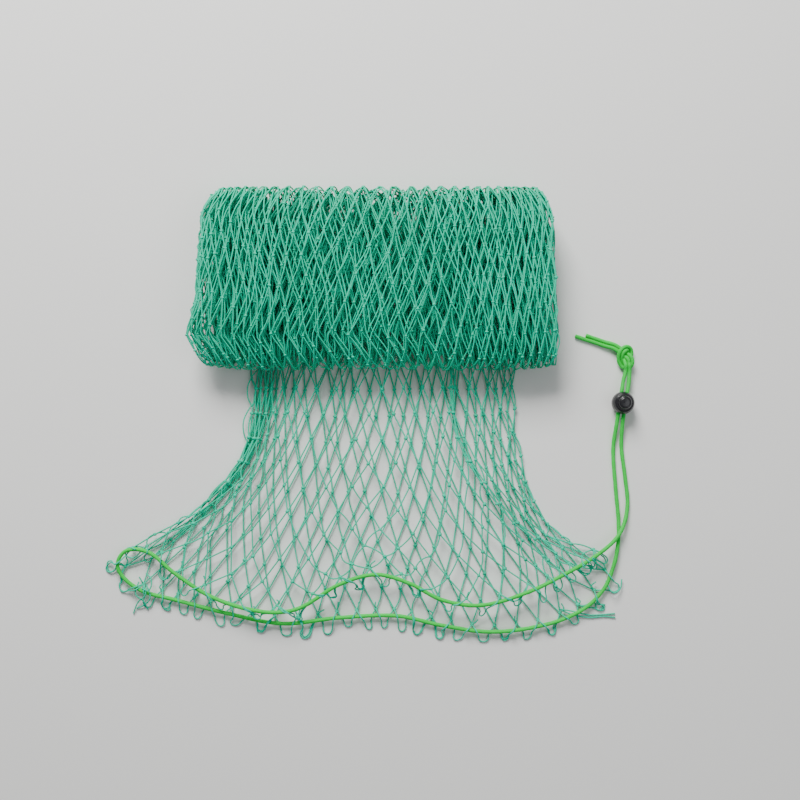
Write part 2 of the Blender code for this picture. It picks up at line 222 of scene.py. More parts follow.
def even_line(line, count):
    """count points, evenly spaced along a line of points."""
    reached = np.concatenate([[0.0], np.cumsum(np.linalg.norm(np.diff(line, axis=0), axis=1))])
    wanted = np.linspace(0, reached[-1], count)
    return np.stack([np.interp(wanted, reached, line[:, axis]) for axis in range(line.shape[1])], axis=1)


def nearest_index(line, point):
    """The index of the point of a line that is nearest to a place."""
    return int(np.argmin(np.linalg.norm(line - np.array(point), axis=1)))


def mesh_from_quads(name, points, quads, lay=None, shade=None):
    """A smooth-shaded mesh from arrays, with a UV map along and round each strand, and its painted
    shade.
    """
    mesh = bpy.data.meshes.new(name)
    mesh.vertices.add(len(points))
    mesh.vertices.foreach_set("co", np.ascontiguousarray(points, dtype=np.float32).ravel())
    mesh.loops.add(quads.size)
    mesh.loops.foreach_set("vertex_index", np.ascontiguousarray(quads, dtype=np.int32).ravel())
    mesh.polygons.add(len(quads))
    mesh.polygons.foreach_set("loop_start", np.arange(0, quads.size, 4, dtype=np.int32))
    mesh.polygons.foreach_set("use_smooth", np.ones(len(quads), dtype=bool))
    mesh.update(calc_edges=True)
    if lay is not None:
        layer = mesh.uv_layers.new(name="lay")
        layer.data.foreach_set("uv", np.ascontiguousarray(lay, dtype=np.float32).ravel())
    if shade is not None:
        attribute = mesh.attributes.new("shade", "FLOAT", "POINT")
        attribute.data.foreach_set("value", np.ascontiguousarray(shade, dtype=np.float32).ravel())
    mesh.validate()
    return mesh


def strand_rings(paths, reference):
    """Two unit vectors across each strand at each of its points: (strands, points, 3) arrays."""
    along = np.gradient(paths, axis=1)
    along /= np.maximum(np.linalg.norm(along, axis=2, keepdims=True), TINY)
    side = np.cross(along, reference)
    side /= np.maximum(np.linalg.norm(side, axis=2, keepdims=True), TINY)
    return side, np.cross(along, side)


def strand_arrays(paths, radius, sides, reference, turn_length):
    """Points, quads and lay coordinates of round strands along paths, an array (strands, points, 3)."""
    strands, count = paths.shape[:2]
    side, other = strand_rings(paths, reference)
    angle = 2 * np.pi * np.arange(sides) / sides
    ring = np.cos(angle)[:, None] * side[:, :, None, :] + np.sin(angle)[:, None] * other[:, :, None, :]
    points = paths[:, :, None, :] + np.asarray(radius)[..., None] * ring
    index = np.arange(strands * count * sides).reshape(strands, count, sides)
    beside = np.roll(index, -1, axis=2)
    corners = [index[:, :-1], beside[:, :-1], beside[:, 1:], index[:, 1:]]
    quads = np.stack(corners, axis=-1).reshape(-1, 4)
    steps = np.linalg.norm(np.diff(paths, axis=1), axis=2)
    reached = np.concatenate([np.zeros((strands, 1)), np.cumsum(steps, axis=1)], axis=1) / turn_length
    low = np.broadcast_to(reached[:, :-1, None], (strands, count - 1, sides))
    high = np.broadcast_to(reached[:, 1:, None], (strands, count - 1, sides))
    here = np.broadcast_to(np.arange(sides) / sides, low.shape)
    there = here + 1 / sides
    lay = np.stack([
        np.stack([low, here], axis=-1), np.stack([low, there], axis=-1),
        np.stack([high, there], axis=-1), np.stack([high, here], axis=-1),
    ], axis=3)
    return points.reshape(-1, 3), quads, lay.reshape(-1, 2)


def add_piece(name, mesh, material):
    """An object at the origin that holds the mesh."""
    piece = bpy.data.objects.new(name, mesh)
    piece.data.materials.append(material)
    bpy.context.scene.collection.objects.link(piece)
    return piece


class Wire:
    """A shader value that takes part in Python arithmetic."""

    def __init__(self, finish, socket):
        self.finish = finish
        self.socket = socket

    def math(self, operation, *others):
        """This value and the others put through one operation of the Math node."""
        return self.finish.node("ShaderNodeMath", {"operation": operation}, [self, *others])

    def __add__(self, other):
        return self.math("ADD", other)

    def __sub__(self, other):
        return self.math("SUBTRACT", other)

    def __mul__(self, other):
        return self.math("MULTIPLY", other)

    def __truediv__(self, other):
        return self.math("DIVIDE", other)

    def __pow__(self, other):
        return self.math("POWER", other)

    def __rsub__(self, other):
        return self.finish.node("ShaderNodeMath", {"operation": "SUBTRACT"}, [other, self])

    __radd__ = __add__
    __rmul__ = __mul__

    def wave(self):
        """0 to 1 and back once for each unit of the value."""
        return self.math("MULTIPLY", 2 * math.pi).math("SINE") * 0.5 + 0.5

    def clamp(self):
        """The value held between 0 and 1."""
        return self.math("MAXIMUM", 0.0).math("MINIMUM", 1.0)


class Finish:
    """A node material: node() adds any node, with its settings first and then its inputs."""

    def __init__(self, name, **constants):
        self.material = bpy.data.materials.new(name)
        self.material.use_nodes = True
        self.tree = self.material.node_tree
        self.shader = self.tree.nodes["Principled BSDF"]
        for socket, value in constants.items():
            self.shader.inputs[socket.replace("_", " ")].default_value = value

    def node(self, kind, settings=None, inputs=(), output=0):
        """A new node of a kind, and the wire from one of its outputs."""
        node = self.tree.nodes.new(kind)
        for key, value in (settings or {}).items():
            setattr(node, key, value)
        named = inputs.items() if isinstance(inputs, dict) else enumerate(inputs)
        for key, value in named:
            if isinstance(value, Wire):
                self.tree.links.new(value.socket, node.inputs[key])
            else:
                node.inputs[key].default_value = value
        return Wire(self, node.outputs[output])

    def mix(self, share, first, second):
        """A colour between two others, each a wire or an (r, g, b)."""
        colours = [colour if isinstance(colour, Wire) else (*colour, 1.0) for colour in (first, second)]
        inputs = {0: share, 6: colours[0], 7: colours[1]}
        return self.node("ShaderNodeMix", {"data_type": "RGBA"}, inputs, output=2)

    def noise(self, scale, detail=2.0):
        """Soft noise over the object, about 0.3 to 0.7."""
        place = self.node("ShaderNodeTexCoord", output=3)
        return self.node("ShaderNodeTexNoise", {}, {"Vector": place, "Scale": scale, "Detail": detail})

    def feed(self, socket, value):
        """Joins a value to a socket of the shader."""
        self.tree.links.new(value.socket, self.shader.inputs[socket])


def lay_of(finish):
    """The distance along a strand in turns, and the share of the way round it."""
    lay = finish.node("ShaderNodeUVMap", {"uv_map": "lay"})
    return (
        finish.node("ShaderNodeSeparateXYZ", {}, [lay], output=0),
        finish.node("ShaderNodeSeparateXYZ", {}, [lay], output=1),
    )


def braid_finish():
    """Lime polyester braid: two families of crossing strands, darker between them, with a soft fuzz."""
    finish = Finish("lime braid", Roughness=0.6, Specular_IOR_Level=0.25)
    along, around = lay_of(finish)
    right = (along * BRAID_CARRIERS + around * BRAID_CARRIERS).wave()
    left = (along * BRAID_CARRIERS - around * BRAID_CARRIERS).wave()
    weave = right * left
    fuzz = finish.noise(900.0, 3.0)
    drift = finish.noise(22.0)
    deep = tuple(value * CORD_SHADOW for value in CORD_LIME)
    colour = finish.mix((weave * 1.5 + 0.15).clamp(), deep, CORD_LIME)
    colour = finish.mix((fuzz * 0.5 + drift * 0.3 - 0.15).clamp(), colour, CORD_LIME_PALE)
    finish.feed("Base Color", colour)
    finish.feed("Roughness", fuzz * 0.3 + 0.42)
    bump = finish.node(
        "ShaderNodeBump", {}, {"Strength": 0.5, "Distance": 0.00012, "Height": weave + fuzz * 0.4}
    )
    finish.feed("Normal", bump)
    return finish.material


def braided_cord(name, line, material):
    """A braided cord along a line, its crossing strands raised, closed at both ends."""
    count = max(8, round(line_length(line) / CORD_STEP))
    line = even_line(line, count)[None]
    points, quads, lay = strand_arrays(line, CORD_DIAMETER / 2, CORD_SIDES, CORD_REFERENCE, BRAID_PITCH)
    step = line_length(line[0]) / (count - 1)
    turns = np.arange(count)[:, None] * step / BRAID_PITCH * BRAID_CARRIERS
    rounds = np.arange(CORD_SIDES)[None, :] / CORD_SIDES * BRAID_CARRIERS
    raised = np.sin(2 * np.pi * (turns + rounds)) * np.sin(2 * np.pi * (turns - rounds))
    centres = np.repeat(line[0], CORD_SIDES, axis=0)
    away = points - centres
    points = centres + away * (1 + BRAID_RELIEF / (CORD_DIAMETER / 2) * raised.reshape(-1, 1))
    mesh = mesh_from_quads(name, points, quads, lay)
    cord = add_piece(name, mesh, material)
    bpy.ops.object.select_all(action="DESELECT")
    cord.select_set(True)
    bpy.context.view_layer.objects.active = cord
    bpy.ops.object.mode_set(mode="EDIT")
    bpy.ops.mesh.select_all(action="DESELECT")
    bpy.ops.mesh.select_mode(type="EDGE")
    bpy.ops.mesh.select_non_manifold()
    bpy.ops.mesh.edge_face_add()
    bpy.ops.object.mode_set(mode="OBJECT")
    return cord, line[0]


def knot_middle_line():
    """The middle of the doubled cord from below the overhand knot and round its three bights."""
    steps = np.linspace(*KNOT_TURN, KNOT_SAMPLES)
    x = np.cos(steps) - 2 * np.cos(2 * steps)
    y = -(np.sin(steps) + 2 * np.sin(2 * steps))
    z = -np.sin(3 * steps)
    bights = np.array(KNOT_MIDDLE) + np.stack([KNOT_LOBE * x, KNOT_LOBE * y, KNOT_RISE * z], axis=1)
    return np.concatenate([np.array(KNOT_ENTRY), bights[::2]])


def pair_side(line, side):
    """The line of one cord of a pair, beside the pair's middle."""
    along = np.gradient(line, axis=0)
    across = np.stack([-along[:, 1], along[:, 0], np.zeros(len(line))], axis=1)
    across /= np.maximum(np.linalg.norm(across, axis=1, keepdims=True), TINY)
    return line + across * PAIR_OFFSET * side


def leg_line(leg, side, tail):
    """A leg of the drawstring from the mouth's corner through lock and knot to its tail's end."""
    through = pair_side(knot_middle_line(), side)
    rough = np.concatenate([leg[:-LEG_STEP:LEG_STEP], through, np.array(tail)])
    line = smooth_line([tuple(point) for point in rough], LEG_SAMPLES)
    line[:, 2] = np.maximum(line[:, 2], CORD_DIAMETER / 2 + TABLE_GAP)
    return line


lime_braid = braid_finish()
whole = smooth_line(DRAWSTRING_ROUTE, ROUTE_SAMPLES)
corner_b = nearest_index(whole, LEG_B_EXIT)
corner_a = nearest_index(whole, LEG_A_EXIT)
mouth_line = whole[corner_b:corner_a + 1]
leg_b_line = leg_line(whole[:corner_b + 1][::-1], 1, LONG_TAIL_ROUTE)
leg_a_line = leg_line(whole[corner_a:], -1, SHORT_TAIL_ROUTE)

cords = {}
for name, line in (
    ("drawstring_mouth", mouth_line),
    ("drawstring_leg_b", leg_b_line),
    ("drawstring_leg_a", leg_a_line),
):
    cords[name] = braided_cord(name, line, lime_braid)
    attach(cords[name][0], "root")
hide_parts("drawstring")
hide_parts("drawstring", "long_tail", "stopper_knot")
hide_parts("drawstring", "short_tail", "stopper_knot")


# --------------------------------------------------------------------------------------------------
# Net: a seamless tube of knotted diamond mesh in 1 mm twisted twine, aqua green. Each side of a
# mesh is 20 mm. The tube is pressed flat, wound up, and its last rows run out to the mouth and spread.
# --------------------------------------------------------------------------------------------------
TWINE = 1.1 * MM
TWINE_LAY = 3.2 * MM
TWINE_PLIES = 3.0
TWINE_SIDES = 6
TWINE_LOWEST = 0.62 * MM
MESH_SIDE = 20.0 * MM
MESHES_ROUND = 46
MESHES_FRONT = 19
KNOT_SIZE = (1.65 * MM, 1.30 * MM, 1.10 * MM)
# Painted shade for the grooves between the plies of the twine.
GREEN_GROOVE_SHADE = (0.0, 0.36, 0.20)
GREEN = (0.0, 0.62, 0.37)
GREEN_PALE = (0.0, 0.80, 0.53)
# Painted shade for the inner layers of the roll.
GREEN_INNER_ROLL_SHADE = (0.002, 0.16, 0.09)
KNOT_WRAP = 0.14
KNOT_TURNED = 0.6
FIELD_WAVES = 7
FIELD_SHARE = 3.2
random_net = np.random.default_rng(11)


def twine_finish():
    """Green nylon twine of three plies, painted shade between plies and on the roll's inner turns."""
    finish = Finish("green twine", Roughness=0.6, Specular_IOR_Level=0.22)
    along, around = lay_of(finish)
    plies = (along + around * TWINE_PLIES).wave()
    drift = finish.noise(38.0, 3.0)
    fine = finish.noise(700.0, 2.0)
    # Painted shade: the higher a point's shade value, the darker its twine; the middle and inner roll
    # get one.
    shade = finish.node("ShaderNodeAttribute", {"attribute_name": "shade"}, output=2)
    # Painted shade: the grooves between the plies turn a darker green, mixed with some fine random tone.
    colour = finish.mix((plies * 0.75 + fine * 0.35).clamp(), GREEN_GROOVE_SHADE, GREEN)
    colour = finish.mix((drift * 1.6 - 0.55).clamp() * 0.7, colour, GREEN_PALE)
    colour = finish.mix(shade, colour, GREEN_INNER_ROLL_SHADE)
    finish.feed("Base Color", colour)
    finish.feed("Roughness", fine * 0.25 + 0.45)
    bump = finish.node("ShaderNodeBump", {}, {"Strength": 0.6, "Distance": 0.00015, "Height": plies})
    finish.feed("Normal", bump)
    return finish.material


def soft_field(columns, rows, seed, reach):
    """Smooth random values over the net, about -1 to 1, that change over reach columns and rows."""
    source = np.random.default_rng(seed)
    total = np.zeros(np.broadcast(columns, rows).shape)
    for _ in range(FIELD_WAVES):
        fast, slow = source.uniform(0.4, 1.3, 2) * 2 * np.pi
        start = source.uniform(0, 2 * np.pi)
        sign = source.choice([-1, 1])
        total += np.sin(fast * columns / reach[0] + slow * rows / reach[1] * sign + start)
    return total / FIELD_SHARE


def strand_index(rows, meshes):
    """For strands that lean each way, the knot that each passes at each row: (2 * meshes, rows)."""
    start = np.arange(meshes)[:, None]
    row = np.arange(rows)[None, :]
    return np.concatenate([(start + row // 2) % meshes, (start - (row + 1) // 2) % meshes])


def knot_shape():
    """A small quad ball, its sides drawn in as the bights of a netting knot are."""
    bpy.ops.object.select_all(action="DESELECT")
    bpy.ops.mesh.primitive_cube_add(size=2)
    ball = bpy.context.object
    bpy.ops.object.mode_set(mode="EDIT")
    bpy.ops.mesh.select_all(action="SELECT")
    bpy.ops.mesh.subdivide(number_cuts=1)
    bpy.ops.object.mode_set(mode="OBJECT")
    points = np.array([vertex.co for vertex in ball.data.vertices])
    quads = np.array([face.vertices for face in ball.data.polygons])
    bpy.data.objects.remove(ball, do_unlink=True)
    points /= np.linalg.norm(points, axis=1, keepdims=True)
    wrap = 1 + KNOT_WRAP * np.sin(3 * np.arctan2(points[:, 2], points[:, 0]) + 2.5 * points[:, 1])
    return points * wrap[:, None], quads


KNOT_POINTS, KNOT_QUADS = knot_shape()


def knot_arrays(places, across, normal, scale=1.0):
    """Points, quads and lay coordinates of a knot at each place, turned a little at random."""
    count = len(places)
    turned = random_net.uniform(-KNOT_TURNED, KNOT_TURNED, count)[:, None]
    across = across / np.linalg.norm(across, axis=1, keepdims=True)
    normal = normal / np.linalg.norm(normal, axis=1, keepdims=True)
    up = np.cross(normal, across)
    first = across * np.cos(turned) + up * np.sin(turned)
    second = np.cross(normal, first)
    size = np.array(KNOT_SIZE) * random_net.uniform(0.85, 1.15, (count, 1)) * scale
    local = KNOT_POINTS[None] * size[:, None, :]
    points = (
        places[:, None] + local[..., :1] * first[:, None] + local[..., 1:2] * second[:, None]
        + local[..., 2:] * normal[:, None]
    )
    quads = KNOT_QUADS[None] + (np.arange(count) * len(KNOT_POINTS))[:, None, None]
    lay = np.tile(KNOT_POINTS[KNOT_QUADS][..., :2] * 0.5, (count, 1, 1, 1))
    return points.reshape(-1, 3), quads.reshape(-1, 4), lay.reshape(-1, 2)


def joined(parts, shades):
    """One set of arrays from several, with the painted shade value of each."""
    points, quads, lays, shade = [], [], [], []
    offset = 0
    for (part_points, part_quads, part_lay), value in zip(parts, shades):
        points.append(part_points)
        quads.append(part_quads + offset)
        lays.append(part_lay)
        shade.append(np.full(len(part_points), value))
        offset += len(part_points)
    return np.concatenate(points), np.concatenate(quads), np.concatenate(lays), np.concatenate(shade)


green_twine = twine_finish()


# --------------------------------------------------------------------------------------------------
# Mouth of the net: the last eleven rows, two layers that lie nearly flat, gathered to the neck under
# the roll and spread along the drawstring. Folds bunch the strands on the right and along the left side.
# --------------------------------------------------------------------------------------------------
MOUTH_ROWS = 12
PINNED_NECK_ROWS = 2
STRAND_STEPS = 5
SLACK_SHARE = 0.55
TAUT = 1.02
KNOT_ABOVE_CORD = 5.0 * MM
HEM_REACH = 2.0
HEM_SHARE = 0.03
PULL_ROUNDS = 80
PULL_SHARE = 0.35
STIR = 0.6 * MM
STIR_X = 1.0 * MM
STIR_Y = 1.6 * MM
BACK_HEIGHT = 1.35 * MM
FRONT_HEIGHT = 2.2 * MM
LEAST_GAP = 1.0 * MM
PUFF_HEM = 4.2 * MM
PUFF_NECK = 2.0 * MM
HEIGHT_SCATTER = 0.35 * MM
ROLL_EDGE_Y = 0.025
ROLL_COVERS = 0.030
FOLD_BAND = 6.0 * MM
LOOP_STEPS = 30
LOOP_LOWEST = 0.6 * MM
STUB_STEPS = 10
STUB_LENGTH = 7.5 * MM
LEFT_FOLD = (
    (-0.0920, 0.0600),
    (-0.0950, 0.0355),
    (-0.0930, 0.0150),
    (-0.0960, -0.0120),
    (-0.1030, -0.0340),
    (-0.1180, -0.0560),
    (-0.1350, -0.0740),
    (-0.1560, -0.0900),
    (-0.1790, -0.1010),
    (-0.1985, -0.1085),
)
RIGHT_FOLD = (
    (0.1120, 0.0600),
    (0.1145, 0.0355),
    (0.1140, 0.0050),
    (0.1210, -0.0380),
    (0.1320, -0.0730),
    (0.1480, -0.0920),
    (0.1690, -0.1030),
    (0.1850, -0.1090),
)
# Where the net's columns of meshes lie across the mouth, front layer and back layer.
FRONT_COLUMNS = (
    # column, share across under the roll, a third of the way out, two thirds, at the hem
    (0.0, 0.000, 0.000, 0.000, 0.000),
    (2.0, 0.060, 0.042, 0.052, 0.100),
    (4.0, 0.130, 0.082, 0.130, 0.205),
    (5.5, 0.200, 0.165, 0.250, 0.300),
    (8.5, 0.410, 0.410, 0.456, 0.500),
    (12.5, 0.735, 0.730, 0.745, 0.765),
    (13.5, 0.790, 0.772, 0.825, 0.815),
    (14.5, 0.800, 0.778, 0.900, 0.858),
    (16.0, 0.815, 0.790, 0.922, 0.902),
    (17.0, 0.880, 0.868, 0.940, 0.935),
    (18.0, 0.950, 0.950, 0.968, 0.970),
    (19.0, 1.000, 1.000, 1.000, 1.000),
)
BACK_COLUMNS = (
    (0.0, 0.000, 0.000, 0.000, 0.000),
    (3.0, 0.060, 0.040, 0.050, 0.105),
    (6.0, 0.130, 0.090, 0.112, 0.215),
    (9.0, 0.260, 0.230, 0.270, 0.330),
    (23.0, 0.880, 0.890, 0.890, 0.870),
    (27.0, 1.000, 1.000, 1.000, 1.000),
)
COLUMN_STATIONS = (0.0, 0.35, 0.7, 1.0)
CREASE_ROWS = (
    # share across at the neck, share across at the hem, height, half width as a share
    (0.10, 0.07, 1.6 * MM, 0.030),
    (0.79, 0.91, 4.4 * MM, 0.030),
    (0.93, 0.95, 1.8 * MM, 0.018),
)


def line_at(line, share):
    """The place (x, y) at a share of the way along a line of points."""
    place = np.clip(share, 0, 1) * (len(line) - 1)
    steps = np.arange(len(line))
    return np.stack([np.interp(place, steps, line[:, axis]) for axis in range(2)], axis=-1)


fold_left = smooth_line([(x, y, 0) for x, y in LEFT_FOLD], 120)[:, :2]
fold_right = smooth_line([(x, y, 0) for x, y in RIGHT_FOLD], 120)[:, :2]
left_corner = nearest_index(mouth_line, LEFT_CORNER)
runs = {"back": mouth_line[:left_corner + 1][::-1], "front": mouth_line[left_corner:]}


def patch_point(layer, across, along):
    """The place (x, y) on a layer of the mouth, at shares across it and from its neck to the cord."""
    run = even_line(runs[layer], 200)[:, :2]
    part = across[..., None]
    sides = line_at(fold_left, along) * (1 - part) + line_at(fold_right, along) * part
    straight = run[0] * (1 - part) + run[-1] * part
    return sides + (line_at(run, across) - straight) * (along[..., None] ** HEM_REACH)


def between_stations(values, along):
    """Values known at four stations, read along a smooth curve through them."""
    total = 0
    for k, here in enumerate(COLUMN_STATIONS):
        weight = 1
        for other in COLUMN_STATIONS[:k] + COLUMN_STATIONS[k + 1:]:
            weight = weight * (along - other) / (here - other)
        total = total + weight * values[..., k]
    return total


def ring_share(columns, along):
    """The layer (True for the front) and the share across for each column round the tube."""
    columns = columns % MESHES_ROUND
    along = np.broadcast_to(along, columns.shape)
    front = columns <= MESHES_FRONT
    shares = []
    for rows, place in ((FRONT_COLUMNS, columns), (BACK_COLUMNS, MESHES_ROUND - columns)):
        table = np.array(rows)
        stations = np.stack([np.interp(place, table[:, 0], table[:, k]) for k in range(1, 5)], axis=-1)
        shares.append(between_stations(stations, along))
    return front, np.where(front, shares[0], shares[1])


def mouth_knots():
    """The place of every knot of the mouth, row 0 beside the drawstring: (rows, meshes round, 3)."""
    rows = np.arange(MOUTH_ROWS)[:, None]
    columns = np.arange(MESHES_ROUND)[None, :] + 0.5 * (rows % 2)
    along = np.broadcast_to((1 - HEM_SHARE) * (1 - rows / (MOUTH_ROWS - 1)), columns.shape)
    front, share = ring_share(columns, along)
    on_front, on_back = (patch_point(layer, share, along) for layer in ("front", "back"))
    places = np.where(front[..., None], on_front, on_back)
    inside = (rows > 0) & (rows < MOUTH_ROWS - 1)
    stir = random_net.normal(0, STIR, places.shape)
    stir[..., 0] += STIR_X * soft_field(columns, rows + 0 * columns, 3, (9, 6))
    stir[..., 1] += STIR_Y * soft_field(columns, rows + 0 * columns, 4, (7, 8))
    places = places + stir * inside[..., None]
    for i in range(MESHES_ROUND):
        run = runs["front" if front[0, i] else "back"]
        on_cord = run[np.argmin(np.linalg.norm(run[:, :2] - places[0, i], axis=1)), :2]
        inward = places[2, i] - on_cord
        places[0, i] = on_cord + inward / np.linalg.norm(inward) * KNOT_ABOVE_CORD
    places = relaxed(places)
    return np.concatenate([places, mouth_height(places, front, share, along)[..., None]], axis=2), front


def relaxed(places):
    """Draws in every side of a mesh that is longer than its twine, with the neck and the hem held."""
    rows = np.arange(MOUTH_ROWS - 1)
    held = np.zeros(places.shape[:2])
    held[1:-PINNED_NECK_ROWS] = 1.0
    for _ in range(PULL_ROUNDS):
        for lean in (0, 1):
            move = np.zeros_like(places)
            for row in rows:
                ahead = (np.arange(MESHES_ROUND) + (row % 2) - 1 + lean) % MESHES_ROUND
                gap = places[row + 1, ahead] - places[row]
                length = np.linalg.norm(gap, axis=1, keepdims=True)
                pull = gap / length * np.maximum(0, length - MESH_SIDE * TAUT) * PULL_SHARE
                move[row] += pull
                move[row + 1, ahead] -= pull
            places = places + move * held[..., None]
    return places


def mouth_height(places, front, share, along):
    """How high each knot lies: the back layer on the table, the front layer a little above it."""
    puff = PUFF_HEM + PUFF_NECK * (1 - along)
    gap = LEAST_GAP + puff * np.sin(np.pi * np.clip(share, 0, 1)) ** 0.5
    for at_neck, at_hem, height, width in CREASE_ROWS:
        away = (share - at_neck - (at_hem - at_neck) * along) / width
        gap += height * np.exp(-away * away) * (1 - 0.35 * along)
    under_roll = np.clip((places[..., 1] - ROLL_EDGE_Y) / ROLL_COVERS, 0, 1)
    height = np.where(front, FRONT_HEIGHT + gap * (1 - 0.75 * under_roll), BACK_HEIGHT)
    return height + np.abs(random_net.normal(0, HEIGHT_SCATTER, front.shape))


def slack_strands(knots, fold_out):
    """Paths of the strands through the knots, each side of a mesh bowed by its spare twine."""
    index = strand_index(len(knots), MESHES_ROUND)
    through = knots[np.arange(len(knots))[None, :], index]
    start, end = through[:, :-1], through[:, 1:]
    span = end - start
    length = np.linalg.norm(span, axis=2)
    spare = np.maximum(0, MESH_SIDE - length)
    bow = np.sqrt(0.375 * length * spare) * random_net.uniform(0.1, 1.0, length.shape) * SLACK_SHARE
    across = np.stack([-span[..., 1], span[..., 0], np.zeros_like(length)], axis=2) / length[..., None]
    sign = random_net.choice([-1.0, 1.0], length.shape)
    outward = fold_out(0.5 * (start + end))
    sign = np.where(np.abs(outward) > 0, np.sign(outward * across[..., 0]), sign)
    share = np.arange(STRAND_STEPS) / STRAND_STEPS
    arch = 4 * share * (1 - share)
    path = start[:, :, None] + span[:, :, None] * share[:, None]
    path = path + (across * (bow * sign)[..., None])[:, :, None] * arch[:, None]
    path = path.reshape(len(index), -1, 3)
    return np.concatenate([path, through[:, -1:]], axis=1)


def side_pull(places):
    """-1 near the left fold, 1 near the right one, 0 between: spare twine hangs outwards there."""
    y = places[..., 1]
    left = np.interp(-y, -fold_left[:, 1], fold_left[:, 0])
    right = np.interp(-y, -fold_right[:, 1], fold_right[:, 0])
    x = places[..., 0]
    return np.where(x < left + FOLD_BAND, -1.0, np.where(x > right - FOLD_BAND, 1.0, 0.0))


LOOP_ROWS = (
    # share across, share of the drop, lift over the cord (both sides mirror, over and then under)
    (-1.0, 0.0, 1.0),
    (-0.95, 0.45, 0.4),
    (-0.85, 0.8, None),
    (0.0, 1.0, 0.0),
    (0.85, 0.8, None),
    (0.95, 0.45, -0.4),
    (1.0, 0.0, -1.0),
)
LOOP_BEND_LIFT = 0.1
LOOP_DROPS = (0.55, 0.92)
LOOP_BOTTOMS = (2.6, 4.4)
LOOP_FALLS = (2, 7)
LOOP_LEAN = 0.28
LOOP_DOUBLED = 0.45
LOOP_STRAY = 0.9 * MM
LOOP_SPREAD = 0.30
LOOP_OVER_CORD = 2.15 * MM
LOOP_BESIDE_CORD = 2.0 * MM
LOOP_GROUND = 0.7 * MM


def hem_loops(knots, front):
    """The loops past the drawstring, from each hem knot to the next, over the cord and back under it."""
    paths = []
    ring = knots[0]
    for i in range(MESHES_ROUND):
        start, end = ring[i], ring[(i + 1) % MESHES_ROUND]
        run = runs["front" if front[0, i] else "back"]
        middle = (start + end) / 2
        near = run[np.argmin(np.linalg.norm(run[:, :2] - middle[:2], axis=1))]
        away = near[:2] - (knots[2, i, :2] + knots[2, (i + 1) % MESHES_ROUND, :2]) / 2
        away /= np.linalg.norm(away)
        beside = np.array([-away[1], away[0]])
        if beside @ (end - start)[:2] < 0:
            beside = -beside
        width = np.linalg.norm(end - start)
        drop = math.sqrt(max(0.16, 1 - (width / (2.2 * MESH_SIDE)) ** 2)) * MESH_SIDE - KNOT_ABOVE_CORD
        drop *= random_net.uniform(*LOOP_DROPS)
        round_bottom = random_net.uniform(*LOOP_BOTTOMS) * MM
        lean = random_net.normal(0, LOOP_LEAN) * drop * beside
        over = random_net.choice([-1.0, 1.0])
        ground = LOOP_GROUND
        if front[0, i]:
            ground = max(LOOP_GROUND, near[2] - random_net.uniform(*LOOP_FALLS) * MM)
        path = [tuple(start)]
        for across, out, lift in LOOP_ROWS:
            lift = LOOP_BEND_LIFT if lift is None else lift * over
            if out == 0:
                place = middle[:2] + beside * across * width * LOOP_SPREAD
                cross = run[np.argmin(np.linalg.norm(run[:, :2] - place, axis=1))]
                path.append((cross[0], cross[1], max(LOOP_LOWEST, cross[2] + lift * LOOP_OVER_CORD)))
            else:
                place = near[:2] + away * drop * out + beside * across * round_bottom + lean * out
                fall = near[2] + (ground - near[2]) * out ** 0.6
                path.append((place[0], place[1], max(LOOP_LOWEST, fall + lift * LOOP_BESIDE_CORD)))
        path.append(tuple(end))
        paths.append(smooth_line(path, LOOP_STEPS))
        if random_net.random() < LOOP_DOUBLED:
            second = np.array(path)
            second[1:-1] += random_net.normal(0, LOOP_STRAY, (len(path) - 2, 3)) * np.array([1, 1, 0.2])
            second[2:-2, :2] += away * random_net.uniform(-2.5, 1.5) * MM
            second[:, 2] = np.maximum(second[:, 2], LOOP_LOWEST)
            paths.append(smooth_line([tuple(point) for point in second], LOOP_STEPS))
    return np.array(paths)


def cut_ends(knots, chosen, length):
    """Short ends of twine that stand off the knots where the netting was tied off."""
    paths = []
    for row, i in chosen:
        start = knots[row, i]
        lean = random_net.normal(0, 0.35)
        reach = length * random_net.uniform(0.6, 1.15)
        tip = start + np.array([math.sin(lean), math.cos(lean), 0]) * reach
        tip[2] = max(LOOP_GROUND, start[2] + random_net.uniform(0.5, 3.0) * MM)
        bend = (start + tip) / 2 + np.array([random_net.normal(0, 1.2), 0, 0.6]) * MM
        paths.append(smooth_line([tuple(start), tuple(bend), tuple(tip)], STUB_STEPS))
    return np.array(paths)


mouth_places, mouth_front = mouth_knots()
mouth_paths = slack_strands(mouth_places, side_pull)
mouth_paths[..., 2] = np.maximum(mouth_paths[..., 2], TWINE_LOWEST)
UPRIGHT = np.array([0.01, 0.02, 1.0])
knots_flat = mouth_places[:-1].reshape(-1, 3)
knots_across = np.tile([1.0, 0, 0], (len(knots_flat), 1))
knots_up = np.tile(UPRIGHT, (len(knots_flat), 1))
mouth_mesh = mesh_from_quads("net_mouth", *joined(
    [strand_arrays(mouth_paths, TWINE / 2, TWINE_SIDES, UPRIGHT, TWINE_LAY),
     knot_arrays(knots_flat, knots_across, knots_up)],
    (0.0, 0.0)))
net_mouth = add_piece("net_mouth", mouth_mesh, green_twine)

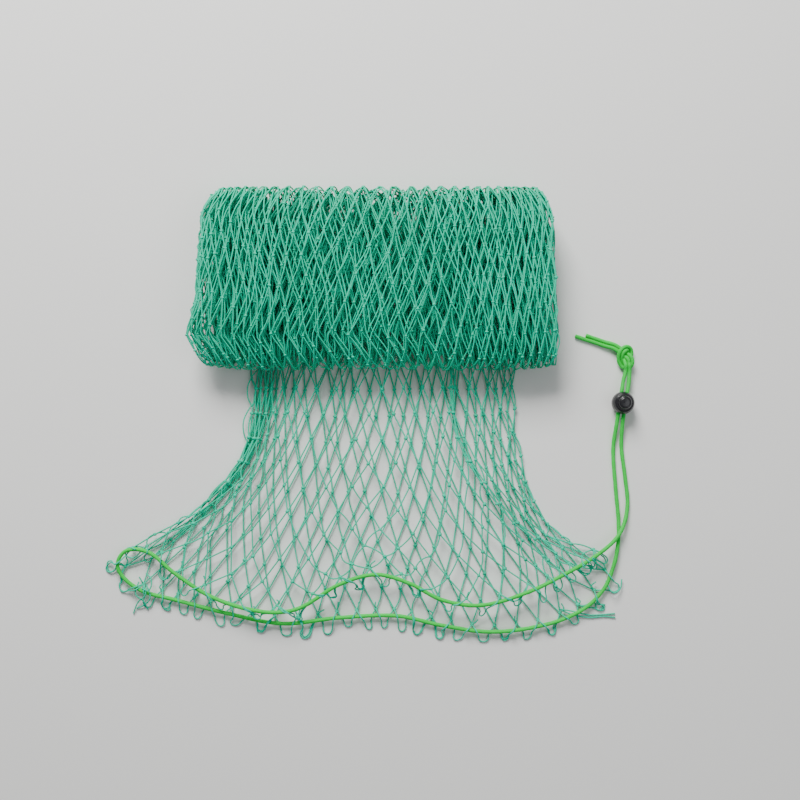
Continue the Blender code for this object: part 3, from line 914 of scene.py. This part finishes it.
SIDE_LOOPS = (
    (
        (-0.0910, 0.0360, 0.003), (-0.0950, 0.0300, 0.005), (-0.0978, 0.0220, 0.006),
        (-0.0972, 0.0130, 0.005), (-0.0935, 0.0060, 0.003),
    ),
    (
        (-0.0920, 0.0120, 0.003), (-0.0968, 0.0050, 0.005), (-0.1008, -0.0045, 0.006),
        (-0.1004, -0.0150, 0.005), (-0.0965, -0.0240, 0.003),
    ),
    (
        (-0.1130, -0.0490, 0.003), (-0.1195, -0.0545, 0.004), (-0.1260, -0.0615, 0.003),
        (-0.1310, -0.0700, 0.002),
    ),
)
LOOSE_ENDS = (
    (
        (0.1480, -0.1520, 0.0050), (0.1580, -0.1565, 0.0020), (0.1720, -0.1592, 0.0009),
        (0.1835, -0.1584, 0.0008), (0.1928, -0.1592, 0.0008),
    ),
    (
        (0.1480, -0.1520, 0.0050), (0.1585, -0.1540, 0.0024), (0.1715, -0.1571, 0.0010),
        (0.1830, -0.1569, 0.0008), (0.1925, -0.1561, 0.0008),
    ),
    (
        (-0.1790, -0.1320, 0.0030), (-0.1770, -0.1405, 0.0060), (-0.1835, -0.1470, 0.0030),
        (-0.1875, -0.1560, 0.0008),
    ),
    (
        (-0.1770, -0.1330, 0.0030), (-0.1735, -0.1430, 0.0050), (-0.1800, -0.1500, 0.0020),
        (-0.1850, -0.1520, 0.0009),
    ),
    (
        (-0.1830, -0.1310, 0.0030), (-0.1850, -0.1400, 0.0050), (-0.1790, -0.1460, 0.0040),
        (-0.1760, -0.1530, 0.0009),
    ),
    (
        (-0.1800, -0.1360, 0.0050), (-0.1740, -0.1370, 0.0070), (-0.1725, -0.1290, 0.0060),
        (-0.1770, -0.1240, 0.0040),
    ),
    (
        (0.1850, -0.1300, 0.0030), (0.1900, -0.1390, 0.0050), (0.1960, -0.1370, 0.0030),
        (0.1980, -0.1290, 0.0020),
    ),
)
loop_paths = hem_loops(mouth_places, mouth_front)
placed_paths = [smooth_line(route, LOOP_STEPS) for route in SIDE_LOOPS + LOOSE_ENDS]
loop_paths = np.concatenate([loop_paths, placed_paths])
back_hem = [(0, i) for i in range(MESHES_FRONT + 1, MESHES_ROUND) if i % 2 or i % 3]
front_hem = [(0, i) for i in (3, 4, 5, 6, 9, 12, 16)]
stub_paths = cut_ends(mouth_places, back_hem + front_hem, STUB_LENGTH)
hem_mesh = mesh_from_quads("net_hem_loops", *joined(
    [strand_arrays(loop_paths, TWINE / 2, TWINE_SIDES, UPRIGHT, TWINE_LAY),
     strand_arrays(stub_paths, TWINE / 2, TWINE_SIDES, UPRIGHT, TWINE_LAY)], (0.0, 0.0)))
net_hem = add_piece("net_hem_loops", hem_mesh, green_twine)


# --------------------------------------------------------------------------------------------------
# Roll: the rest of the net, wound up flat. Every turn is two layers of mesh; the meshes are drawn out
# along the winding, and the turns do not quite meet at the ends.
# --------------------------------------------------------------------------------------------------
ROLL_LEFT = -0.1310
ROLL_RIGHT = 0.1400
ROLL_CREST_Y = 0.1160
ROLL_FRONT_DEPTH = 0.0800
ROLL_BACK_DEPTH = 0.0610
ROLL_THICKNESS = 0.0450
ROLL_FLAT_CUT = 0.0014
FRONT_ROUNDNESS = 2.15
BACK_ROUNDNESS = 2.9
SEAM_ANGLE = 225.0
TURN_PITCH = 0.0045
ROLL_TURNS = 4.8
FRONT_CROWDING = 0.8
BACK_CROWDING = 0.5
ROW_PITCH = 19.3 * MM
ROLL_MESHES = 54
LAYER_DEPTHS = (-0.7 * MM, 1.3 * MM)
END_SPREAD = 2.2 * MM
FRONT_SPREAD = 2.6 * MM
BACK_SPREAD = 1.6 * MM
EDGE_SHARE = 1 / 16
GATHER = 0.30
END_HOLD = 0.75
UNEVEN = 2.5 * MM
UNEVEN_TURNS = 0.83
ROLL_WANDER = 0.36
ROLL_SLIP = 0.26
ROLL_BOW = 0.05
KNOT_SCATTER = 0.06
ROLL_KNOT_LOWEST = 1.3 * MM
ROLL_KNOT_SCALE = 0.86
WINDING_SAMPLES = 6000
ROLL_SEED = 40
ROLL_END_ROWS = (
    # angle, left end, right end (mm)
    (0, -15.0, -13.0),
    (30, -12.0, -9.0),
    (60, -2.5, -2.0),
    (90, 0.0, 0.0),
    (108, 2.0, 1.5),
    (122, 8.0, 3.0),
    (132, 12.0, 4.5),
    (142, 6.0, 5.0),
    (155, 1.0, 4.5),
    (175, -2.0, 3.0),
    (205, -8.0, -1.0),
    (240, -11.0, -6.0),
    (270, -7.0, -5.0),
    (300, -5.0, -4.0),
    (330, -11.0, -9.0),
    (360, -15.0, -13.0),
)
SWELL_ROWS = (
    # share, crest height (mm), front edge (mm)
    (0.00, -4.5, -2.5),
    (0.10, -1.0, 0.5),
    (0.30, 0.8, 1.2),
    (0.50, -0.6, 0.0),
    (0.72, 1.0, 1.4),
    (0.90, -0.8, 0.6),
    (1.00, -4.0, -2.0),
)


def signed_power(value, power):
    """A power of the value's size, with the value's sign."""
    return np.sign(value) * np.abs(value) ** power


def section_points(angle, inset):
    """The (y, z) at an angle round the roll, at a depth under its outer face."""
    turned = np.radians(angle)
    front = np.cos(turned) < 0
    power = 2 / np.where(front, FRONT_ROUNDNESS, BACK_ROUNDNESS)
    front_depth = ROLL_FRONT_DEPTH - FRONT_CROWDING * inset
    back_depth = ROLL_BACK_DEPTH - BACK_CROWDING * inset
    depth = np.where(front, front_depth, back_depth)
    half = (ROLL_THICKNESS + ROLL_FLAT_CUT) / 2
    y = ROLL_CREST_Y + depth * signed_power(np.cos(turned), power)
    z = half + (half - inset) * signed_power(np.sin(turned), power)
    return y, np.maximum(z, ROLL_FLAT_CUT + inset) - ROLL_FLAT_CUT


spiral_angle = np.linspace(SEAM_ANGLE, SEAM_ANGLE + 360 * ROLL_TURNS, WINDING_SAMPLES)
spiral_inset = TURN_PITCH * (spiral_angle - SEAM_ANGLE) / 360
spiral_y, spiral_z = section_points(spiral_angle, spiral_inset)
spiral_reach = np.concatenate([[0.0], np.cumsum(np.hypot(np.diff(spiral_y), np.diff(spiral_z)))])


def fold_wave(columns):
    """The share across a flattened tube and the layer (0 outer, 1 inner) for columns round it."""
    place = (columns % ROLL_MESHES) / (ROLL_MESHES / 2)
    share = np.where(place <= 1, place, 2 - place)
    edge = np.minimum(np.abs(place), np.minimum(np.abs(place - 1), np.abs(place - 2)))
    past_edge = 0.5 * np.minimum(1, edge / EDGE_SHARE)
    inner = np.where(place <= 1, 0.5 - past_edge, 0.5 + past_edge)
    return share, inner


def roll_points(columns, reach):
    """Where a point of the wound net is, by its column round the tube and its way along the winding."""
    share, inner = fold_wave(columns)
    share = share - GATHER * np.sin(2 * np.pi * share) / (2 * np.pi)
    angle = np.interp(reach, spiral_reach, spiral_angle)
    inset = np.interp(reach, spiral_reach, spiral_inset)
    inset = inset + LAYER_DEPTHS[0] + inner * (LAYER_DEPTHS[1] - LAYER_DEPTHS[0])
    y, z = section_points(angle, inset)
    table = np.array(ROLL_END_ROWS)
    depth_share = np.clip(inset / (ROLL_THICKNESS / 2), 0, 1)
    hold = 1 - END_HOLD * depth_share
    left = ROLL_LEFT - np.interp(angle % 360, table[:, 0], table[:, 1]) * MM * hold - END_SPREAD
    right = ROLL_RIGHT + np.interp(angle % 360, table[:, 0], table[:, 2]) * MM * hold + END_SPREAD
    uneven = UNEVEN * np.sin(angle / 360 * 2 * np.pi * UNEVEN_TURNS + 1.0) * depth_share
    swell = np.array(SWELL_ROWS)
    crest = np.interp(share, swell[:, 0], swell[:, 1]) * MM
    edge = np.interp(share, swell[:, 0], swell[:, 2]) * MM
    turned = np.radians(angle)
    z = z + crest * np.clip(z / ROLL_THICKNESS, 0, 1)
    y = y - (edge + FRONT_SPREAD) * np.clip(-np.cos(turned), 0, 1)
    y = y + BACK_SPREAD * np.clip(np.cos(turned), 0, 1)
    x = left + uneven + (right - left - 2 * uneven) * share
    return np.stack([x, y, np.maximum(z, TWINE_LOWEST)], axis=-1)


def roll_strands(first_row, rows, steps, seed):
    """Paths of the strands of some rows of the winding, and the places of their knots."""
    row = np.arange(first_row, first_row + rows + 1)[:, None]
    columns = np.arange(ROLL_MESHES)[None, :] + 0.5 * (row % 2)
    wander = ROLL_WANDER * soft_field(columns, row + 0 * columns, seed, (12.0, 9.0))
    slip = ROLL_SLIP * soft_field(columns, row + 0 * columns, seed + 1, (9.0, 9.0))
    wander = wander + knot_scatter[0, first_row:first_row + rows + 1]
    slip = slip + knot_scatter[1, first_row:first_row + rows + 1] * 0.7
    way = (row + slip) * ROW_PITCH
    start = np.arange(ROLL_MESHES)[:, None]
    step = np.arange(rows + 1)[None, :]
    odd = first_row % 2
    leans = []
    for lean in (1, -1):
        if lean > 0:
            index = start + (step + odd) // 2
        else:
            index = start - (step + 1 - odd) // 2
        unwrapped = index + 0.5 * ((step + first_row) % 2)
        index = index % ROLL_MESHES
        place = unwrapped + wander[step, index]
        leans.append((place, way[step, index]))
    column_at = np.concatenate([leans[0][0], leans[1][0]])
    way_at = np.concatenate([leans[0][1], leans[1][1]])
    share = np.arange(steps) / steps
    bow = random_net.normal(0, ROLL_BOW, column_at[:, :-1].shape)[:, :, None] * (4 * share * (1 - share))
    column_path = column_at[:, :-1, None] + np.diff(column_at, axis=1)[:, :, None] * share + bow
    way_path = way_at[:, :-1, None] + np.diff(way_at, axis=1)[:, :, None] * share
    column_path = np.concatenate([column_path.reshape(len(column_at), -1), column_at[:, -1:]], axis=1)
    way_path = np.concatenate([way_path.reshape(len(way_at), -1), way_at[:, -1:]], axis=1)
    paths = roll_points(column_path, np.clip(way_path, 0, spiral_reach[-1]))
    knots = roll_points(columns + wander, np.clip(way, 0, spiral_reach[-1])).reshape(-1, 3)
    knots[:, 2] = np.maximum(knots[:, 2], ROLL_KNOT_LOWEST)
    return paths, knots


ALONG_ROLL = np.array([1.0, 0.02, 0.03])
TOTAL_ROWS = int(spiral_reach[-1] / ROW_PITCH) - 1
OUTER_ROWS = 18
MIDDLE_ROWS = 26
INNER_ROWS = TOTAL_ROWS - OUTER_ROWS - MIDDLE_ROWS
knot_scatter = np.random.default_rng(5).normal(0, KNOT_SCATTER, (2, TOTAL_ROWS + 2, ROLL_MESHES))
# Painted shade darkens the twine more, the deeper a piece lies in the roll.
ROLL_PIECES = (
    # name, first row, rows, steps between knots, sides, knots, painted shade
    ("net_roll_outer", 0, OUTER_ROWS, 4, 6, True, 0.0),
    ("net_roll_middle", OUTER_ROWS, MIDDLE_ROWS, 3, 4, True, 0.12),
    ("net_roll_inner", OUTER_ROWS + MIDDLE_ROWS, INNER_ROWS, 3, 4, False, 0.3),
)
net_rolls = []
for name, first, rows, steps, sides, knotted, shade in ROLL_PIECES:
    paths, knots = roll_strands(first, rows, steps, ROLL_SEED)
    # A strand of few sides is made a little wider, so that it goes as far round as a round one.
    plump = math.pi / (sides * math.sin(math.pi / sides))
    parts = [strand_arrays(paths, TWINE / 2 * plump, sides, ALONG_ROLL, TWINE_LAY)]
    if knotted:
        middle = np.array([0, ROLL_CREST_Y, ROLL_THICKNESS / 2])
        away = (knots - middle) * np.array([0, 0.4, 1.0]) + np.array([0, 0, 1e-6])
        parts.append(knot_arrays(knots, np.tile([1.0, 0, 0], (len(knots), 1)), away, ROLL_KNOT_SCALE))
    roll_mesh = mesh_from_quads(name, *joined(parts, [shade] * len(parts)))
    net_rolls.append(add_piece(name, roll_mesh, green_twine))

for piece in (net_mouth, net_hem, *net_rolls):
    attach(piece, "root")
    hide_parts("net")


# --------------------------------------------------------------------------------------------------
# Cord lock: a round spring toggle of black moulded plastic, bought in one piece, with its button up.
# The drawstring's two legs pass through its holes.
# --------------------------------------------------------------------------------------------------
LOCK_BLACK = (0.006, 0.006, 0.008)
LOCK_WORN = (0.02, 0.02, 0.023)
LOCK_MEAN = (0.010, 0.010, 0.012)


def lock_finish():
    """Glossy black plastic with a fine moulded grain."""
    finish = Finish("black moulded plastic", Base_Color=(*LOCK_MEAN, 1.0), Roughness=0.24)
    grain = finish.noise(260.0, 4.0)
    finish.feed("Roughness", grain * 0.22 + 0.12)
    finish.feed("Base Color", finish.mix(grain, LOCK_BLACK, LOCK_WORN))
    bump = finish.node("ShaderNodeBump", {}, {"Strength": 0.15, "Distance": 0.0001, "Height": grain})
    finish.feed("Normal", bump)
    return finish.material


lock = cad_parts["cord_lock"]
lock.material_slots[0].material = lock_finish()


# --------------------------------------------------------------------------------------------------
# Each cord's modelled line, taken as every fourth point and its end, and a flat size for each sheet of
# net, its meshes round the tube by its rows. A mesh is taken as 9 mm wide here; across the roll it is
# 10 mm, so these sizes are about a tenth narrower than the sheets lie.
# --------------------------------------------------------------------------------------------------
for name, exit_point, far_end, pieces in (
    ("drawstring_mouth", LEG_B_EXIT, "object", []),
    ("drawstring_leg_b", LEG_B_EXIT, "bare", [lock]),
    ("drawstring_leg_a", LEG_A_EXIT, "bare", [lock]),
):
    cord, line = cords[name]
    [tuple(point) for point in line[::4]] + [tuple(line[-1])]

MESH_WIDTH = 9.0 * MM
ROW_LENGTH = ROW_PITCH * 1.01
for piece, rows, held, others in (
    (net_mouth, MOUTH_ROWS - 1, "gathered", [net_hem]),
    (net_rolls[0], ROLL_PIECES[0][2], "folded", []),
    (net_rolls[1], ROLL_PIECES[1][2], "folded", []),
    (net_rolls[2], ROLL_PIECES[2][2], "folded", []),
):
    meshes = MESHES_ROUND if piece == net_mouth else ROLL_MESHES
    meshes * MESH_WIDTH
    rows * ROW_LENGTH
